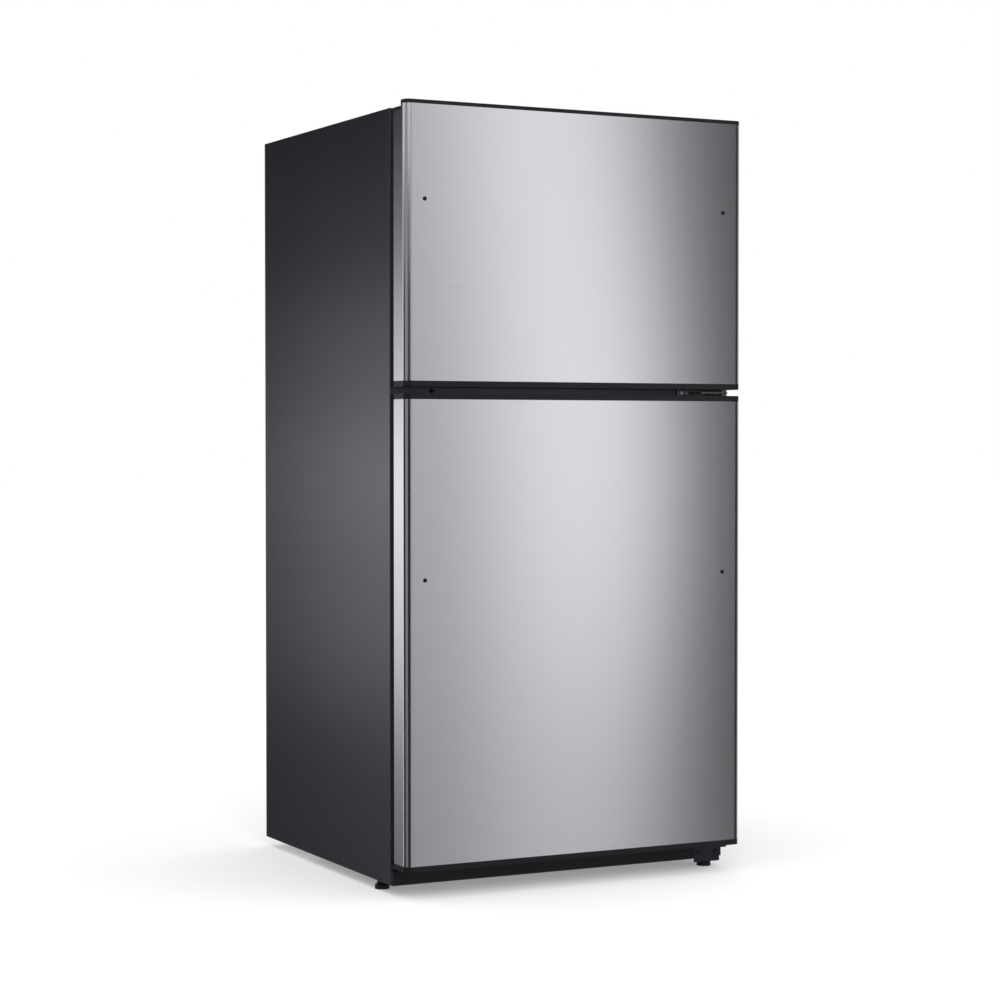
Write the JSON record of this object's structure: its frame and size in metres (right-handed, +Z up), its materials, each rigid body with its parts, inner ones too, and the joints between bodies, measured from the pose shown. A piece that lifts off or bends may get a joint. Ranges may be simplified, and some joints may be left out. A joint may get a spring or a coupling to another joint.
{
  "type": "top freezer refrigerator",
  "caption": "Upright refrigerator with a freezer door above a taller fridge door, brushed steel fronts, charcoal cabinet, inside shelves, drawers, door bins and rear machine compartment.",
  "frame": {"origin": "on the floor under the middle of the object's box", "axes": "+X to the right of someone facing the doors, the doors face -Y, +Z up"},
  "size_m": [0.832, 0.8096, 1.699],
  "materials": {
    "cabinet_paint": "satin charcoal paint",
    "door_steel": "brushed stainless, fine horizontal grain",
    "zinc_steel": "zinc plated pressed steel",
    "black_plastic": "fine matt black moulding",
    "liner_plastic": "white vacuum formed plastic",
    "white_plastic": "white injection moulding",
    "clear_plastic": "clear moulded plastic",
    "seal": "soft grey door seal",
    "foam": "rigid polyurethane foam",
    "shelf_glass": "tempered shelf glass",
    "compressor_paint": "gloss black enamel",
    "copper": "bare copper tube",
    "coil_aluminium": "bare aluminium fin",
    "galvanised": "galvanised sheet"
  },
  "bodies": {
    "cabinet": {"side_panel_left": "cabinet_paint", "side_panel_right": "cabinet_paint", "top_panel": "cabinet_paint", "rear_panel": "galvanised", "base_deck": "cabinet_paint", "insulation": "foam", "freezer_liner": "liner_plastic", "fridge_liner": "liner_plastic", "mullion_plate": "cabinet_paint", "kick_plate": "black_plastic", "top_hinge": "zinc_steel", "top_hinge_cover": "black_plastic", "middle_hinge": "zinc_steel", "bottom_hinge": "cabinet_paint", "hinge_screws": "zinc_steel", "shelf_frames": "white_plastic", "shelf_glass": "shelf_glass", "control_housing": "white_plastic", "lamp_lens": "clear_plastic", "switch_housing": "white_plastic", "evaporator": "coil_aluminium", "evaporator_cover": "liner_plastic", "fan_motors": "black_plastic", "base_pan": "galvanised", "roller_brackets": "zinc_steel", "compressor": "compressor_paint", "compressor_grommets": "seal", "condenser": "compressor_paint", "drain_pan": "black_plastic", "refrigerant_lines": "copper", "machine_cover": "galvanised"},
    "freezer_door": {"freezer_door_skin": "door_steel", "freezer_door_top_cap": "black_plastic", "freezer_door_bottom_cap": "black_plastic", "freezer_door_foam": "foam", "freezer_door_liner": "liner_plastic", "freezer_door_gasket": "seal", "freezer_door_bins": "clear_plastic", "freezer_door_plugs": "black_plastic"},
    "fridge_door": {"fridge_door_skin": "door_steel", "fridge_door_top_cap": "black_plastic", "fridge_door_bottom_cap": "black_plastic", "fridge_door_foam": "foam", "fridge_door_liner": "liner_plastic", "fridge_door_gasket": "seal", "fridge_door_bins": "clear_plastic", "fridge_door_plugs": "black_plastic", "dairy_bin": "clear_plastic"},
    "dairy_lid": {"dairy_lid": "clear_plastic"},
    "crisper_left": {"crisper_left": "clear_plastic"},
    "crisper_right": {"crisper_right": "clear_plastic"},
    "fridge_knob": {"fridge_knob": "white_plastic"},
    "freezer_knob": {"freezer_knob": "white_plastic"},
    "switch_plunger": {"switch_plunger": "white_plastic"},
    "evaporator_fan": {"evaporator_fan": "black_plastic"},
    "condenser_fan": {"condenser_fan": "black_plastic"},
    "rear_roller_left": {"rear_roller_left": "black_plastic"},
    "rear_roller_right": {"rear_roller_right": "black_plastic"},
    "front_foot_left": {"front_foot_left": "black_plastic"},
    "front_foot_right": {"front_foot_right": "black_plastic"}
  },
  "joints": [
    {"name": "freezer_door_swing", "type": "hinge", "parent": "cabinet", "child": "freezer_door", "pos_m": [0.392, -0.3632, 1.681], "axis": [0, 0, 1], "range_deg": [0, 120]},
    {"name": "fridge_door_swing", "type": "hinge", "parent": "cabinet", "child": "fridge_door", "pos_m": [0.392, -0.3632, 1.0815], "axis": [0, 0, 1], "range_deg": [0, 120]},
    {"name": "dairy_lid_lift", "type": "hinge", "parent": "fridge_door", "child": "dairy_lid", "pos_m": [0, -0.3212, 0.9005], "axis": [1, 0, 0], "range_deg": [0, 70]},
    {"name": "crisper_left_slide", "type": "slide", "parent": "cabinet", "child": "crisper_left", "axis": [0, -1, 0], "range_m": [0, 0.045]},
    {"name": "crisper_right_slide", "type": "slide", "parent": "cabinet", "child": "crisper_right", "axis": [0, -1, 0], "range_m": [0, 0.045]},
    {"name": "fridge_dial_turn", "type": "hinge", "parent": "cabinet", "child": "fridge_knob", "pos_m": [-0.08, -0.1532, 1.0215], "axis": [0, 1, 0], "range_deg": [-135, 135]},
    {"name": "freezer_dial_turn", "type": "hinge", "parent": "cabinet", "child": "freezer_knob", "pos_m": [0.08, -0.1532, 1.0215], "axis": [0, 1, 0], "range_deg": [-135, 135]},
    {"name": "lamp_switch_press", "type": "slide", "parent": "cabinet", "child": "switch_plunger", "axis": [0, -1, 0], "range_m": [0, 0.008]},
    {"name": "evaporator_fan_spin", "type": "hinge", "parent": "cabinet", "child": "evaporator_fan", "pos_m": [0, 0.2568, 1.511], "axis": [0, 1, 0], "continuous": true},
    {"name": "condenser_fan_spin", "type": "hinge", "parent": "cabinet", "child": "condenser_fan", "pos_m": [-0.045, 0.2773, 0.124], "axis": [1, 0, 0], "continuous": true},
    {"name": "rear_roller_left_spin", "type": "hinge", "parent": "cabinet", "child": "rear_roller_left", "pos_m": [-0.346, 0.3348, 0.022], "axis": [1, 0, 0], "continuous": true},
    {"name": "rear_roller_right_spin", "type": "hinge", "parent": "cabinet", "child": "rear_roller_right", "pos_m": [0.346, 0.3348, 0.022], "axis": [1, 0, 0], "continuous": true},
    {"name": "front_foot_left_level", "type": "slide", "parent": "cabinet", "child": "front_foot_left", "axis": [0, 0, 1], "range_m": [-0.012, 0]},
    {"name": "front_foot_right_level", "type": "slide", "parent": "cabinet", "child": "front_foot_right", "axis": [0, 0, 1], "range_m": [-0.012, 0]}
  ],
  "couplings": [
    {"joint": "lamp_switch_press", "follows": "fridge_door_swing", "m_per_rad": 0.00382}
  ]
}
